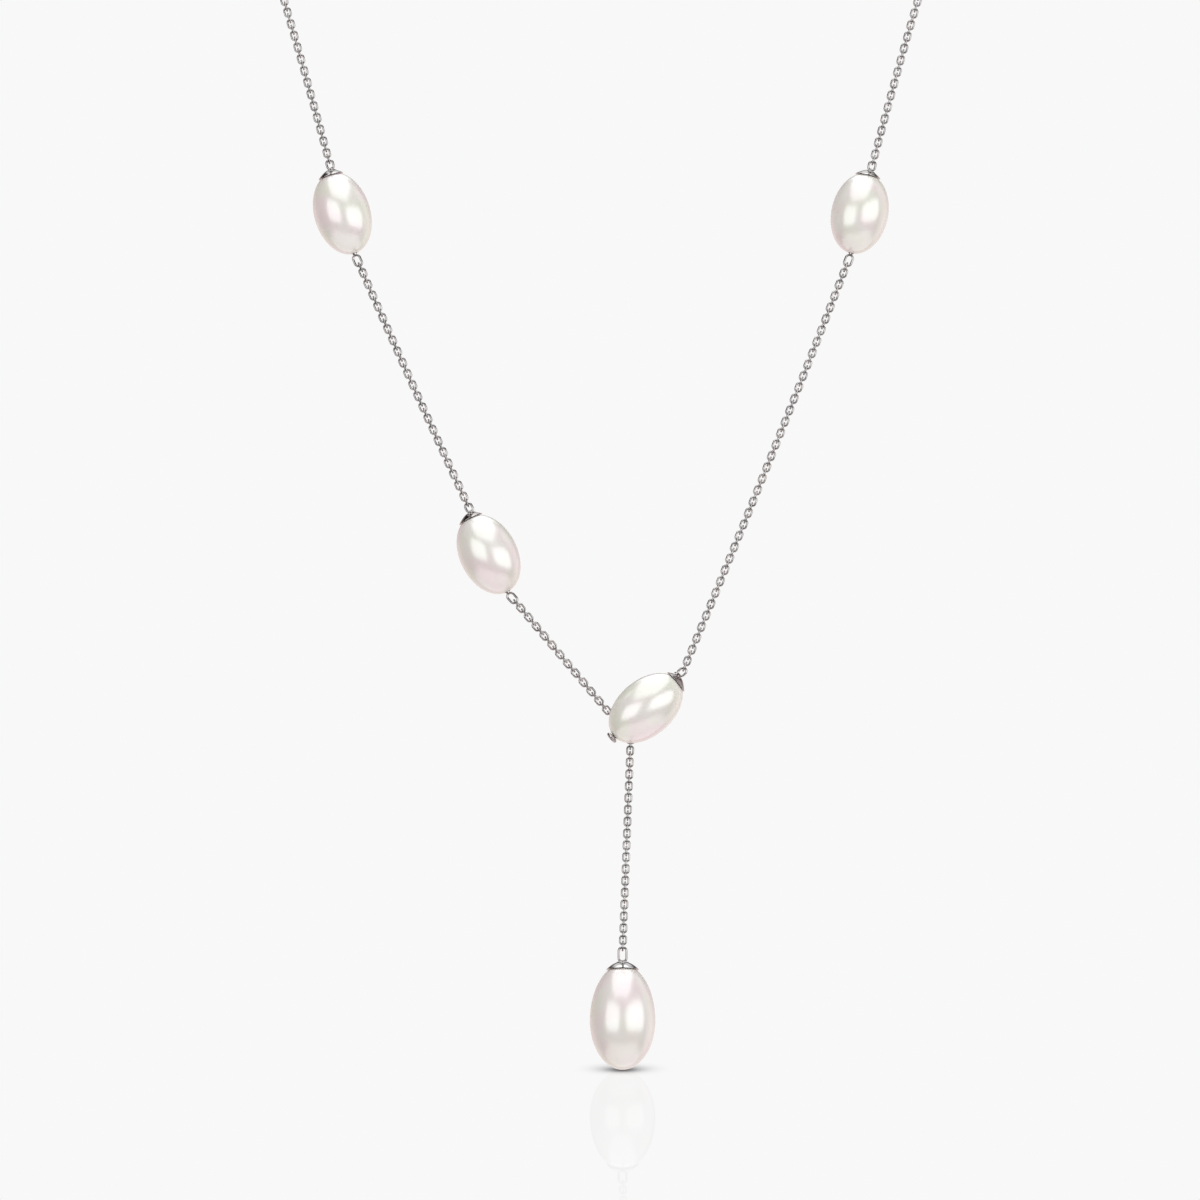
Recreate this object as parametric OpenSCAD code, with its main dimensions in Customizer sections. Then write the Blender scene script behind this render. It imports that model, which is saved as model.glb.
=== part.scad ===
// Pearl drop necklace: four oval pearls set along a fine cable chain, and a larger
// drop pearl that hangs free on a chain of its own below the lowest of the four.
// The nape of the neck is the origin, the front faces -Y and Z is up.

/* [Pearls] */
// Length of the drop pearl above its widest place
drop_up = 7.32; // [7.2:0.02:7.5]
// Length of the drop pearl below its widest place
drop_low = 6.4; // [6:0.1:6.6]
// Width of the drop pearl
drop_w = 8.5; // [8:0.1:9]
// Bore through every pearl
bore_d = 0.8; // [0.75:0.05:1]

/* [Caps and eyes] */
// Diameter of a station cap at its rim
cap_d = 3.3; // [3:0.1:3.6]
// Diameter of the drop cap at its rim
drop_cap_d = 4.2; // [3.9:0.1:4.4]
// Metal above the tip of a station pearl
crown = 0.44; // [0.4:0.02:0.5]
// Metal above the tip of the drop pearl
drop_crown = 0.3; // [0.26:0.02:0.4]
// Width of the pin inside each pearl
pin_d = 0.5; // [0.4:0.05:0.55]
// Wire of the eyes on the caps and pins
eye_wire = 0.3; // [0.26:0.01:0.3]

/* [Chain] */
// Wire of a chain link
link_wire = 0.26; // [0.22:0.01:0.26]
// Outer width of a chain link
link_w = 1.04; // [1.04:0.01:1.1]
// Outer length of a chain link
link_l = 1.43; // [1.42:0.01:1.48]
// Least clear space between two pieces of metal
gap = 0.1; // [0.1:0.01:0.11]

/* [Hang] */
// Backward lean of the front, as it lies on a chest
lean = 9; // [8:0.5:10]

/* [Hidden] */

pearl_colour = "#efe9e4";
silver = "#c9cbce";

// A station pearl: place across, height up the front, tilt of the drill hole from
// upright, length, width, and how far its upper eye is soldered to the right of the hole
ACROSS = 0;
HEIGHT = 1;
TILT = 2;
LENGTH = 3;
WIDTH = 4;
ASIDE = 5;
upper_left = [-33.65, 112.3, 16.9, 11.0, 7.3, 0.34];
lower_left = [-14.6, 67.4, 26.6, 11.0, 7.5, 0.48];
right_one = [33.65, 112.3, -12.2, 10.7, 7.4, 0.25];
centre_one = [5.8, 47.2, -48.6, 11.1, 7.3, -0.44];

// The drop and its chain hang this far behind the pearls; the drop's place is that of
// its widest part
hang_depth = 3.9;
drop_at = [2.8, hang_depth, 6.8];

// Room between a pearl and its cap, how deep an eye is soldered into the crown, the
// wall of a cap at its rim, and the radius inside a cap against that of the pearl's tip
fit = 0.1;
sink = 0.16;
rim_wall = 0.14;
cup_open = 1.1;
drop_cup_open = 1.2;

// Block that cuts off what lies below a level
cutter = 18;

// Outer sizes of the eyes and of the joining ring
eye_w = 1.16;
eye_l = 1.5;
drop_eye_w = 1.3;
drop_eye_l = 2.2;
low_eye_w = 1.22;
low_eye_l = 1.8;
join_d = 1.65;

// How much further than a cap a lower eye stays off its pearl, since it leans to the
// chain, and how deep the end of the pin is soldered into its wire
low_room = 0.03;
pin_bite = 0.1;

// The centre of the joining ring, behind the lower end of the centre pearl, the
// collar at that end of the pin, and the bend of the arm between them
join_at = [3.85, hang_depth, 43.85];
collar_d = 1.6;
collar_wire = 0.45;
arm_wire = 0.38;
bend_r = 0.6;

// Depth of the blind bore in the drop pearl, and the pin in it
drop_bore = 8;
drop_pin = 7.4;

// The foot of the drop lies this far in front of the nape and below it
nape_back = 84;
nape_up = 193.5;

// The right side of the chain that goes round the neck, from above the right pearl
// to the clasp; the left side mirrors it
back_route = [[38.9, -63.4, -63], [42.9, -60.8, -49], [46.5, -55.5, -35.5], [49, -46, -24],
    [48.5, -34, -15.5], [44, -21.5, -9.5], [35, -10.5, -5], [21.5, -2.5, -1.5], [4.4, 0.5, 0]];
chain_d = 1;
rings_each = 4;
sides = 8;
roll_side = [1, 1, -1];

// The clasp at the nape: a round spring ring with an eye on each side
clasp_at = [0, 0.5, 0];
clasp_d = 5.4;
clasp_wire = 1;
clasp_eye_w = 1.2;
clasp_eye_l = 1.6;
clasp_eye_wire = 0.35;

// Sideways sag of the longest straight stretches
left_sag = -0.1;
right_sag = 0.2;

// How smooth the round shapes are drawn
$fn = 48;

function toward(a, b) = (b - a) / norm(b - a);

// A point of the front, given as across, depth and height up the leaning front
function front_pt(p) = [p.x, p.y * cos(lean) + p.z * sin(lean) - nape_back,
    p.z * cos(lean) - p.y * sin(lean) - nape_up];

function middle(s) = [s[ACROSS], 0, s[HEIGHT]];
function axis_up(s) = [-sin(s[TILT]), 0, cos(s[TILT])];
function axis_right(s) = [cos(s[TILT]), 0, sin(s[TILT])];
function top_of_cap(s) = s[LENGTH] / 2 + fit + crown;

// The middle of the round end of an upper eye, where the chain pulls
function upper_hook(s) = middle(s) + axis_right(s) * s[ASIDE]
    + axis_up(s) * (top_of_cap(s) - sink + eye_l - eye_w / 2);
drop_hook = drop_at + [0, 0, drop_up + fit + drop_crown - sink + drop_eye_l - drop_eye_w / 2];

// A lower eye starts at the end of the pin and leans to the point b, where its chain goes
function low_edge(s) = s[LENGTH] / 2 + fit + low_room;
function low_start(s) = middle(s) - axis_up(s) * (low_edge(s) + eye_wire / 2);
function low_way(s, b) = toward(low_start(s), [b.x, 0, b.z]);
function lower_hook(s, b) = low_start(s) + low_way(s, b) * (low_eye_l - eye_wire);

// A flat oval ring of round wire, standing in the XZ plane with its length along Z
module ring(width, length, wire) {
    r = (width - wire) / 2;
    half = (length - width) / 2;
    if (half > 0)
        for (turn = [0, 180]) rotate([0, turn, 0]) {
            translate([0, 0, half]) rotate([90, 0, 0])
                rotate_extrude(angle = 180) translate([r, 0]) circle(d = wire);
            translate([r, 0, -half]) cylinder(d = wire, h = 2 * half);
        }
    else
        rotate([90, 0, 0]) rotate_extrude() translate([r, 0]) circle(d = wire);
}

module place_front() {
    translate([0, -nape_back, -nape_up]) rotate([-lean, 0, 0]) children();
}

module place_station(s) {
    place_front() translate(middle(s)) rotate([0, -s[TILT], 0]) children();
}

// Turns Z to the direction u, keeping a flat piece facing the front
module along(u) {
    rotate([0, atan2(u.x, u.z), 0]) rotate([-asin(u.y), 0, 0]) children();
}

module oval(length, width) {
    scale([width / length, width / length, 1]) sphere(d = length);
}

module half_oval(height, width) {
    difference() {
        oval(2 * height, width);
        translate([-cutter / 2, -cutter / 2, -cutter]) cube(cutter);
    }
}

module station_pearl(s) {
    color(pearl_colour) place_station(s) difference() {
        oval(s[LENGTH], s[WIDTH]);
        translate([0, 0, -s[LENGTH]]) cylinder(d = bore_d, h = 2 * s[LENGTH]);
    }
}

// A thin domed cup over the top of a pearl whose centre is at the origin
module cup(length, width, rim, top, open) {
    cup_r = open * width * width / (2 * length);
    inner_at = length / 2 + fit - cup_r;
    rim_at = inner_at + sqrt(pow(cup_r, 2) - pow(rim / 2 - rim_wall, 2));
    crown_at = length / 2 + fit + top;
    rise = crown_at - rim_at;
    dome_r = (pow(rim / 2, 2) + pow(rise, 2)) / (2 * rise);
    difference() {
        translate([0, 0, crown_at - dome_r]) sphere(r = dome_r);
        translate([0, 0, inner_at]) sphere(r = cup_r);
        translate([-cutter / 2, -cutter / 2, rim_at - cutter]) cube(cutter);
    }
}

// The cap of a station pearl with its upper eye and the pin through the pearl
module capped_pin(s) {
    pin_end = low_edge(s) + pin_bite;
    cup(s[LENGTH], s[WIDTH], cap_d, crown, cup_open);
    translate([s[ASIDE], 0, top_of_cap(s) - sink + eye_l / 2]) ring(eye_w, eye_l, eye_wire);
    translate([0, 0, -pin_end]) cylinder(d = pin_d, h = pin_end + top_of_cap(s) - crown / 2);
}

// A capped pin whose lower eye leans to the point b
module station_cap(s, b) {
    color(silver) {
        place_station(s) capped_pin(s);
        place_front() translate(low_start(s)) along(low_way(s, b))
            translate([0, 0, (low_eye_l - eye_wire) / 2]) ring(low_eye_w, low_eye_l, eye_wire);
    }
}

// Loose links from the wire at a to the wire at b, the first and the last edge on
module links(a, b, sag) {
    span = norm(b - a) + eye_wire - link_wire;
    line = link_l - link_wire;
    least = ceil((span + link_wire + gap) / (line - link_wire - gap));
    count = least + (least + 1) % 2;
    hold = (count * line - span) / (count + 1);
    start = (link_wire - eye_wire) / 2 - hold + line / 2;
    u = toward(a, b);
    side = cross(u, [0, 1, 0]);
    for (i = [0:count - 1]) {
        run = start + i * (line - hold);
        bow = 4 * sag * run * (span - run) / (span * span);
        translate(a + u * run + side * bow) along(u) rotate([0, 0, (i + 1) % 2 * 90])
            ring(link_w, link_l, link_wire);
    }
}

// A smooth curve through the points, cut into rings
function curve(p, i, t) = let(
    a = p[max(i - 1, 0)], b = p[i], c = p[i + 1], d = p[min(i + 2, len(p) - 1)])
    (2 * b + (c - a) * t + (2 * a - 5 * b + 4 * c - d) * t * t
    + (3 * b - a - 3 * c + d) * t * t * t) / 2;
function smooth(p) = [for (i = [0:len(p) - 2]) for (k = [0:rings_each - 1])
    curve(p, i, k / rings_each), p[len(p) - 1]];
function heading(q, i) = toward(q[max(i - 1, 0)], q[min(i + 1, len(q) - 1)]);
function ring_of(q, i, ref) = let(u = heading(q, i), v = toward([0, 0, 0], cross(u, ref)), w = cross(u, v))
    [for (k = [0:sides - 1]) q[i] + chain_d / 2 * (cos(360 * k / sides) * v + sin(360 * k / sides) * w)];

module tube(points, ref) {
    q = smooth(points);
    n = len(q);
    polyhedron(
        [for (i = [0:n - 1]) each ring_of(q, i, ref)],
        concat(
            [[for (k = [0:sides - 1]) k]],
            [for (i = [0:n - 2]) for (k = [0:sides - 1]) let(m = (k + 1) % sides)
                [i * sides + k, (i + 1) * sides + k, (i + 1) * sides + m, i * sides + m]],
            [[for (k = [sides - 1:-1:0]) (n - 1) * sides + k]]));
}

// The chain above an upper pearl, from just clear of its eye round to the clasp
module back_chain(s, hand) {
    turned = [for (p = back_route) [hand * p.x, p.y, p.z]];
    eye = front_pt(upper_hook(s));
    start = eye + toward(eye, turned[0]) * (eye_w / 2 + gap);
    color(silver) tube(concat([start], turned), [hand * roll_side.x, roll_side.y, roll_side.z]);
}

module pearl_upper_left() { station_pearl(upper_left); }

module pearl_lower_left() { station_pearl(lower_left); }

module pearl_right() { station_pearl(right_one); }

module pearl_centre() { station_pearl(centre_one); }

module pearl_drop() {
    color(pearl_colour) place_front() translate(drop_at) difference() {
        union() {
            half_oval(drop_up, drop_w);
            rotate([180, 0, 0]) half_oval(drop_low, drop_w);
        }
        translate([0, 0, drop_up - drop_bore]) cylinder(d = bore_d, h = drop_bore + fit);
    }
}

module cap_upper_left() { station_cap(upper_left, upper_hook(lower_left)); }

module cap_lower_left() { station_cap(lower_left, join_at); }

module cap_right() { station_cap(right_one, upper_hook(centre_one)); }

// The centre pin ends in a collar, turns level back behind the pearl and carries the
// ring that joins the left chain, the drop chain and the centre pearl
module cap_centre() {
    s = centre_one;
    collar_at = front_pt(middle(s) - axis_up(s) * (s[LENGTH] / 2 + fit + collar_wire / 2));
    join = front_pt(join_at);
    back = [collar_at.x, join.y, collar_at.z];
    u = toward(back, join);
    color(silver) {
        place_station(s) {
            capped_pin(s);
            translate([0, 0, -s[LENGTH] / 2 - fit - collar_wire / 2]) {
                rotate([90, 0, 0]) ring(collar_d, collar_d, collar_wire);
                cylinder(d = pin_d, h = collar_wire);
            }
        }
        translate(collar_at) rotate([-90, 0, 0])
            cylinder(d = arm_wire, h = back.y - collar_at.y - bend_r);
        translate(back) along(u) {
            translate([0, -bend_r, bend_r]) rotate([0, 90, 0])
                rotate_extrude(angle = 90) translate([bend_r, 0]) circle(d = arm_wire);
            translate([0, 0, bend_r])
                cylinder(d = arm_wire, h = norm(join - back) - bend_r - (join_d - eye_wire) / 2);
        }
        place_front() translate(join_at) ring(join_d, join_d, eye_wire);
    }
}

module cap_drop() {
    crown_at = drop_up + fit + drop_crown;
    color(silver) place_front() translate(drop_at) {
        cup(2 * drop_up, drop_w, drop_cap_d, drop_crown, drop_cup_open);
        translate([0, 0, crown_at - sink + drop_eye_l / 2]) ring(drop_eye_w, drop_eye_l, eye_wire);
        translate([0, 0, drop_up - drop_pin]) cylinder(d = pin_d, h = drop_pin + fit + drop_crown / 3);
    }
}

module chain_back_left() { back_chain(upper_left, -1); }

module chain_back_right() { back_chain(right_one, 1); }

module chain_left() {
    hook = upper_hook(lower_left);
    a = lower_hook(upper_left, hook);
    color(silver) place_front()
        links(a, hook + (eye_w - eye_wire) / 2 * toward(hook, a), left_sag);
}

module chain_lower_left() {
    a = lower_hook(lower_left, join_at);
    level = [a.x, join_at.y, a.z];
    color(silver) place_front()
        links(a, join_at + (join_d - eye_wire) / 2 * toward(join_at, level), 0);
}

module chain_right() {
    hook = upper_hook(centre_one);
    a = lower_hook(right_one, hook);
    color(silver) place_front()
        links(a, hook + (eye_w - eye_wire) / 2 * toward(hook, a), right_sag);
}

module chain_drop() {
    u = toward(join_at, drop_hook);
    color(silver) place_front()
        links(join_at + (join_d - eye_wire) / 2 * u, drop_hook - (drop_eye_w - eye_wire) / 2 * u, 0);
}

module clasp() {
    color(silver) translate(clasp_at) {
        ring(clasp_d, clasp_d, clasp_wire);
        for (hand = [-1, 1])
            translate([hand * (clasp_d / 2 + clasp_eye_l / 2 - clasp_eye_wire), 0, 0]) rotate([90, 0, 90])
                ring(clasp_eye_w, clasp_eye_l, clasp_eye_wire);
    }
}

pearl_upper_left();
pearl_lower_left();
pearl_right();
pearl_centre();
pearl_drop();
cap_upper_left();
cap_lower_left();
cap_right();
cap_centre();
cap_drop();
chain_back_left();
chain_back_right();
chain_left();
chain_lower_left();
chain_right();
chain_drop();
clasp();
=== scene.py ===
"""Looks of a pearl drop necklace: capped oval pearls on a fine silver cable chain.

One unit of the modelling bench is a millimetre. A finished piece is set into the necklace's
own frame, in metres: the nape is the origin, the front faces -Y and +Z is up.
"""

import sys
import logging
import math
from collections.abc import Callable
from dataclasses import dataclass
from enum import Enum

import bmesh
import bpy
from mathutils import Matrix, Vector


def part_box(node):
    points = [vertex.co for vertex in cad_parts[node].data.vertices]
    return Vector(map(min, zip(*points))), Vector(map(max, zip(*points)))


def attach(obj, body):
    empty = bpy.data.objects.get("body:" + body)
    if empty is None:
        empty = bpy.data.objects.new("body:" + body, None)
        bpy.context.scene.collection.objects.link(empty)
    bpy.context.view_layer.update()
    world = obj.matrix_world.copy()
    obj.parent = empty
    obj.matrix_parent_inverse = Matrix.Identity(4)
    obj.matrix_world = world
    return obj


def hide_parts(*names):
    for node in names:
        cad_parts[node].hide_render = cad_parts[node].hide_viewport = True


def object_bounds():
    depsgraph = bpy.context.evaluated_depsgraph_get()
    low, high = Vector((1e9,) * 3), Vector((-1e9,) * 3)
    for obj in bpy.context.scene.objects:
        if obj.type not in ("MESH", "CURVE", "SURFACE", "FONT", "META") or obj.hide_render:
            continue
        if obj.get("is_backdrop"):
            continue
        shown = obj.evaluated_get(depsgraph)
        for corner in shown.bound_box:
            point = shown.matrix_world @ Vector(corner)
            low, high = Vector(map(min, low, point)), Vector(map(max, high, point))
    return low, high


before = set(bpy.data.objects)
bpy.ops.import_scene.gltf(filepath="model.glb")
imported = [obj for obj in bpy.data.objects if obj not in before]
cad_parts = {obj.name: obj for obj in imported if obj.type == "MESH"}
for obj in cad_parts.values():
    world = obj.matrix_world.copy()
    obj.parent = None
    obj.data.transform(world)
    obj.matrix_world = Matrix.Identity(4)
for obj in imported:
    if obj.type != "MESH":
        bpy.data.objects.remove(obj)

log = logging.getLogger("necklace")

Colour = tuple[float, float, float, float]

# What an input of a node can be given
Feed = bpy.types.NodeSocket | float | Colour | Vector

MM = 0.001

# The front of the necklace lies in one plane that leans back, as on a chest. The foot
# of the drop lies this far in front of the nape and below it.
LEAN = 9.0
NAPE_BACK = 84.0
NAPE_UP = 193.5

# Room between a pearl and its cap, and between two links
FIT = 0.1
LEAST_GAP = 0.1

# Upper eyes, and how deep they stand in their solder
EYE_WIRE = 0.3
EYE_WIDTH = 1.16
EYE_LENGTH = 1.5
SINK = 0.16

# Lower eyes, their room under the pearl, and how far the pin goes past their wire's edge
LOW_EYE_WIDTH = 1.22
LOW_EYE_LENGTH = 1.8
LOW_ROOM = 0.03
PIN_BITE = 0.1

# The drop and its chain hang this far behind the pearls
HANG_DEPTH = 3.9

# Sections round an eye or ring, sides of its wire and of a thicker one, and of a cap's rim
EYE_TURNS = 32
RING_TURNS = 36
WIRE_SIDES = 12
THICK_SIDES = 16
RIM_SIDES = 56

# Corners this near to each other are one
MERGE = 1e-4

# Segments of a rounded edge, and how much of its wire a pin's end rounds off
EDGE_STEPS = 2
END_ROUND = 1 / 6

# Soft clouds of colour: their detail, the noise that they show, and how far the second lie
CLOUD_DETAIL = 1.5
CLOUD_BAND = (0.4, 0.68)
CLOUD_SHIFT = Vector((0.013, 0.007, 0.0))

# Fine relief: its detail, roughness and the noise that its mask shows
GRAIN_DETAIL = 3.0
GRAIN_ROUGHNESS = 0.55
GRAIN_BAND = (0.35, 0.7)

# The lamps' light, a little cooler than the room, and the full white of the floor's mirror
DAYLIGHT = (0.9, 0.97, 1.0)
WHITE = (1.0, 1.0, 1.0, 1.0)


class Side(Enum):
    """The wearer's side as the photograph shows it."""

    LEFT = -1
    RIGHT = 1


class Kind(Enum):
    """What a selection is made of."""

    VERT = "VERT"
    FACE = "FACE"


class Socket(Enum):
    """What an input or output of a node group carries."""

    NUMBER = "NodeSocketFloat"
    COLOUR = "NodeSocketColor"


def linear(value: float) -> float:
    """Turns a display value from 0 to 255 into linear light, by the usual display curve."""
    share = value / 255
    return share / 12.92 if share <= 0.04045 else ((share + 0.055) / 1.055) ** 2.4


def colour(red: float, green: float, blue: float) -> Colour:
    """Turns display values from 0 to 255 into a linear colour with full alpha."""
    return (linear(red), linear(green), linear(blue), 1.0)


def front_plane() -> Matrix:
    """Returns the matrix from the front plane, in millimetres, to the frame, in metres."""
    lean = Matrix.Rotation(math.radians(-LEAN), 4, "X")
    return Matrix.Scale(MM, 4) @ Matrix.Translation((0, -NAPE_BACK, -NAPE_UP)) @ lean


class Bench:
    """The tools that shape a mesh by hand, with nothing else selected."""

    @staticmethod
    def clear() -> None:
        """Deselects every object."""
        bpy.ops.object.select_all(action="DESELECT")

    @staticmethod
    def take(obj: bpy.types.Object) -> None:
        """Makes one object the only one selected, and the active one.

        Args:
            obj: Object to work on.
        """
        Bench.clear()
        obj.select_set(True)
        bpy.context.view_layer.objects.active = obj

    @staticmethod
    def edit(obj: bpy.types.Object) -> None:
        """Starts edit mode on one object, where corners are selected.

        Args:
            obj: Object to work on.
        """
        Bench.take(obj)
        bpy.ops.object.mode_set(mode="EDIT")
        bpy.ops.mesh.select_mode(type="VERT")

    @staticmethod
    def leave() -> None:
        """Goes back to object mode."""
        bpy.ops.object.mode_set(mode="OBJECT")

    @staticmethod
    def select_all() -> None:
        """Selects all of the mesh in edit mode."""
        bpy.ops.mesh.select_all(action="SELECT")

    @staticmethod
    def pick(obj: bpy.types.Object, kind: Kind, test: Callable[[Vector], bool]) -> None:
        """Selects the corners or faces of an object in edit mode whose middle passes a test.

        Args:
            obj: Object in edit mode.
            kind: What is selected.
            test: Gets the place of a corner or the middle of a face.
        """
        bpy.ops.mesh.select_mode(type=kind.value)
        bpy.ops.mesh.select_all(action="DESELECT")
        shape = bmesh.from_edit_mesh(obj.data)
        for item in shape.verts if kind is Kind.VERT else shape.faces:
            if test(item.co if kind is Kind.VERT else item.calc_center_median()):
                item.select_set(True)
        shape.select_flush_mode()
        bmesh.update_edit_mesh(obj.data)

    @staticmethod
    def extrude(across: float, deep: float, up: float) -> None:
        """Extrudes what is selected along X, Y and Z."""
        bpy.ops.mesh.extrude_region_move(TRANSFORM_OT_translate={"value": (across, deep, up)})

    @staticmethod
    def resize(across: float, up: float, centre: tuple[float, float, float] = (0, 0, 0)) -> None:
        """Resizes what is selected about a point, the same in X and Y and otherwise in Z."""
        bpy.ops.transform.resize(value=(across, across, up), center_override=centre)

    @staticmethod
    def settle(obj: bpy.types.Object, matrix: Matrix) -> None:
        """Puts the object's own place and a further matrix into its mesh.

        Args:
            obj: Object in object mode.
            matrix: Matrix from the mesh to where it belongs.
        """
        obj.data.transform(matrix @ obj.matrix_basis)
        obj.matrix_basis = Matrix.Identity(4)
        obj.data.update()

    @staticmethod
    def add(primitive: Callable[..., set[str]], **settings: object) -> bpy.types.Object:
        """Adds a primitive mesh.

        Args:
            primitive: The operator that adds it.
            **settings: Values of the operator's own fields.

        Returns:
            The object, with its place in its mesh.
        """
        Bench.clear()
        primitive(**settings)
        obj = bpy.context.object
        Bench.settle(obj, Matrix.Identity(4))
        return obj

    @staticmethod
    def outward(obj: bpy.types.Object) -> None:
        """Points the faces of a closed mesh outwards, after its doubles are merged.

        Args:
            obj: Object in object mode.
        """
        Bench.edit(obj)
        Bench.select_all()
        bpy.ops.mesh.remove_doubles(threshold=MERGE)
        bpy.ops.mesh.normals_make_consistent(inside=False)
        Bench.leave()
        shape = bmesh.new()
        shape.from_mesh(obj.data)
        if shape.calc_volume(signed=True) < 0:
            bmesh.ops.reverse_faces(shape, faces=shape.faces)
            shape.to_mesh(obj.data)
        shape.free()

    @staticmethod
    def modify(obj: bpy.types.Object, kind: str, **settings: float | int | bool | str) -> None:
        """Adds a modifier with its settings and applies it.

        Args:
            obj: Object in object mode.
            kind: The modifier's type.
            **settings: Values of the modifier's own fields.
        """
        Bench.take(obj)
        modifier = obj.modifiers.new(kind.lower(), kind)
        for name, value in settings.items():
            setattr(modifier, name, value)
        bpy.ops.object.modifier_apply(modifier=modifier.name)

    @staticmethod
    def join(name: str, parts: list[bpy.types.Object]) -> bpy.types.Object:
        """Joins parts into one named object.

        Args:
            name: Name of the piece.
            parts: Two or more objects in object mode.

        Returns:
            The joined object.
        """
        Bench.take(parts[0])
        for part in parts[1:]:
            part.select_set(True)
        bpy.ops.object.join()
        parts[0].name = parts[0].data.name = name
        return parts[0]

    @staticmethod
    def smooth(obj: bpy.types.Object, angle: float) -> None:
        """Shades an object smooth where its faces meet at less than an angle in degrees."""
        Bench.take(obj)
        bpy.ops.object.shade_smooth_by_angle(angle=math.radians(angle))


class Wire:
    """Round wire bent into rings and pins."""

    @staticmethod
    def ring(width: float, length: float, wire: float, turns: int, sides: int) -> bpy.types.Object:
        """Bends an oval ring that stands in the XZ plane, with its length along Z.

        The two halves of a round ring are drawn apart, so that its limbs run straight.

        Args:
            width: Outer width.
            length: Outer length.
            wire: Diameter of the wire.
            turns: Sections round the ring, an even number.
            sides: Sides of the wire.

        Returns:
            The ring, with its middle at the origin.
        """
        step = math.pi / turns
        radius = (width - wire) / 2 / math.cos(step)
        half = (length - width) / 2
        ring = Bench.add(
            bpy.ops.mesh.primitive_torus_add, major_segments=turns, minor_segments=sides,
            major_radius=radius, minor_radius=wire / 2, rotation=(math.pi / 2, step, 0))
        for hand in (-1, 1) if half > 0 else ():
            Bench.edit(ring)
            Bench.pick(ring, Kind.VERT, lambda place, hand=hand: place.z * hand > 0)
            bpy.ops.transform.translate(value=(0, 0, hand * half))
            Bench.leave()
        return ring

    @staticmethod
    def pin(wire: float, low: float, high: float) -> bpy.types.Object:
        """Turns a straight pin along Z with rounded ends.

        Args:
            wire: Diameter of the pin.
            low: Height of its lower end.
            high: Height of its upper end.

        Returns:
            The pin.
        """
        pin = Bench.add(
            bpy.ops.mesh.primitive_cylinder_add, vertices=THICK_SIDES, radius=wire / 2,
            depth=high - low, location=(0, 0, (low + high) / 2))
        Bench.edit(pin)
        Bench.pick(pin, Kind.FACE, lambda place: min(place.z - low, high - place.z) < MERGE)
        bpy.ops.mesh.bevel(offset=wire * END_ROUND, segments=EDGE_STEPS, affect="EDGES")
        Bench.leave()
        return pin

    @staticmethod
    def toward(middle: Vector, width: float, target: Vector) -> Vector:
        """Finds the middle of a ring's wire, given its outer width, on the side of a point."""
        return middle + (target - middle).normalized() * (width - EYE_WIRE) / 2


@dataclass(frozen=True)
class Station:
    """A pearl's place on the front plane and its size, in millimetres and degrees.

    The place is that of its widest part. Its upper eye is soldered a little to the right of
    the drill hole, by the length aside.
    """

    node: str
    across: float
    height: float
    tilt: float
    length: float
    width: float
    aside: float = 0.0
    depth: float = 0.0

    def middle(self) -> Vector:
        """Returns the pearl's middle on the front plane."""
        return Vector((self.across, self.depth, self.height))

    def axis(self) -> Vector:
        """Returns the direction of the drill hole, upwards."""
        tilt = math.radians(self.tilt)
        return Vector((-math.sin(tilt), 0, math.cos(tilt)))

    def right(self) -> Vector:
        """Returns the direction to the right of the drill hole."""
        tilt = math.radians(self.tilt)
        return Vector((math.cos(tilt), 0, math.sin(tilt)))

    def low_edge(self) -> float:
        """Returns how far the wire of the lower eye lies below the pearl's middle."""
        return self.length / 2 + FIT + LOW_ROOM

    def low_start(self) -> Vector:
        """Returns the middle of the lower eye's wire at the pin, on the front plane."""
        return self.middle() - self.axis() * (self.low_edge() + EYE_WIRE / 2)

    def low_way(self, target: Vector) -> Vector:
        """Returns the direction, on the front plane, in which the lower eye leans to its chain."""
        start = self.low_start()
        return Vector((target.x - start.x, 0, target.z - start.z)).normalized()

    def lower_hook(self, target: Vector) -> Vector:
        """Returns the middle of the lower eye's wire that the chain to a point pulls on."""
        return self.low_start() + self.low_way(target) * (LOW_EYE_LENGTH - EYE_WIRE)

    def place(self) -> Matrix:
        """Returns the matrix from the pearl's own axes to the frame."""
        turn = Matrix.Rotation(math.radians(-self.tilt), 4, "Y")
        return front_plane() @ Matrix.Translation(self.middle()) @ turn


# Name, place across, height, tilt, length, width, and how far aside the eye stands
UPPER_LEFT = Station("upper_left", -33.65, 112.3, 16.9, 11.0, 7.3, 0.34)
LOWER_LEFT = Station("lower_left", -14.6, 67.4, 26.6, 11.0, 7.5, 0.48)
RIGHT = Station("right", 33.65, 112.3, -12.2, 10.7, 7.4, 0.25)
CENTRE = Station("centre", 5.8, 47.2, -48.6, 11.1, 7.3, -0.44)
DROP = Station("drop", 2.8, 6.8, 0.0, 14.64, 8.5, depth=HANG_DEPTH)


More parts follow.
